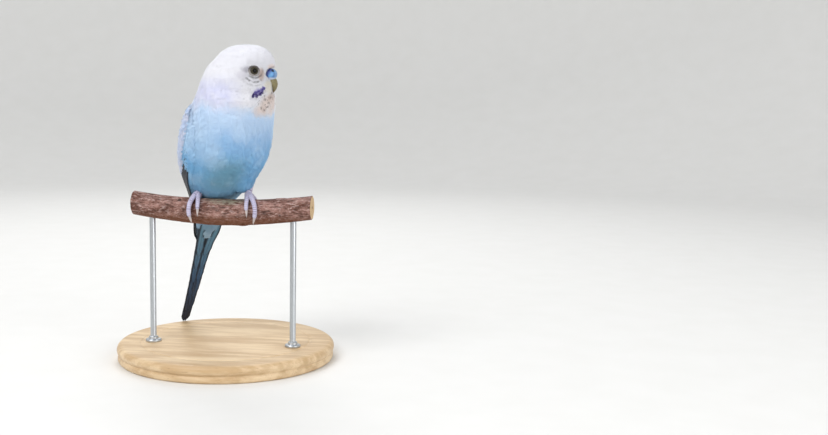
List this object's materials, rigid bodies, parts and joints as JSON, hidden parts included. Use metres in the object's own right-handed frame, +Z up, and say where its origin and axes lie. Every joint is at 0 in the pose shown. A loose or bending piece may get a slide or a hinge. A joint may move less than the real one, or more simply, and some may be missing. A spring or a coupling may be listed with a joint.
{
  "type": "perched budgerigar on a display stand",
  "caption": "Life-size still model of a perched small parrot with a white head and pale blue body, gripping a short cut branch held by a round base with thin rods.",
  "frame": {"origin": "middle of the underside of the round base", "axes": "+Z up, -Y towards the viewer, +X to the viewer's right along the perch"},
  "size_m": [0.1156, 0.116, 0.1672],
  "materials": {
    "plumage_white": "soft white contour feathers",
    "plumage_blue": "soft sky-blue contour feathers",
    "plumage_wing": "white coverts over dark flight feathers",
    "plumage_tail": "smooth steel-blue tail feathers",
    "foot_skin": "matt scaled skin",
    "claw": "satin horn",
    "eye": "wet gloss",
    "cere": "waxy satin",
    "bill": "satin horn",
    "bark": "rough bark",
    "stand_base": "satin sealed wood",
    "stand_rod": "brushed"
  },
  "bodies": {
    "root": {"head": "plumage_white", "neck": "plumage_white", "trunk": "plumage_blue", "tail": "plumage_tail", "wing_left": "plumage_wing", "wing_right": "plumage_wing", "leg_left": "plumage_blue", "leg_right": "plumage_blue", "foot_left": "foot_skin", "foot_right": "foot_skin", "claw_left_front_outer": "claw", "claw_left_front_inner": "claw", "claw_left_back_outer": "claw", "claw_left_back_inner": "claw", "claw_right_front_outer": "claw", "claw_right_front_inner": "claw", "claw_right_back_outer": "claw", "claw_right_back_inner": "claw", "eye_left": "eye", "eye_right": "eye", "cere": "cere", "bill_upper": "bill", "bill_lower": "bill", "perch": "bark", "stand_base": "stand_base", "stand_rod_left": "stand_rod", "stand_rod_right": "stand_rod"}
  },
  "joints": []
}
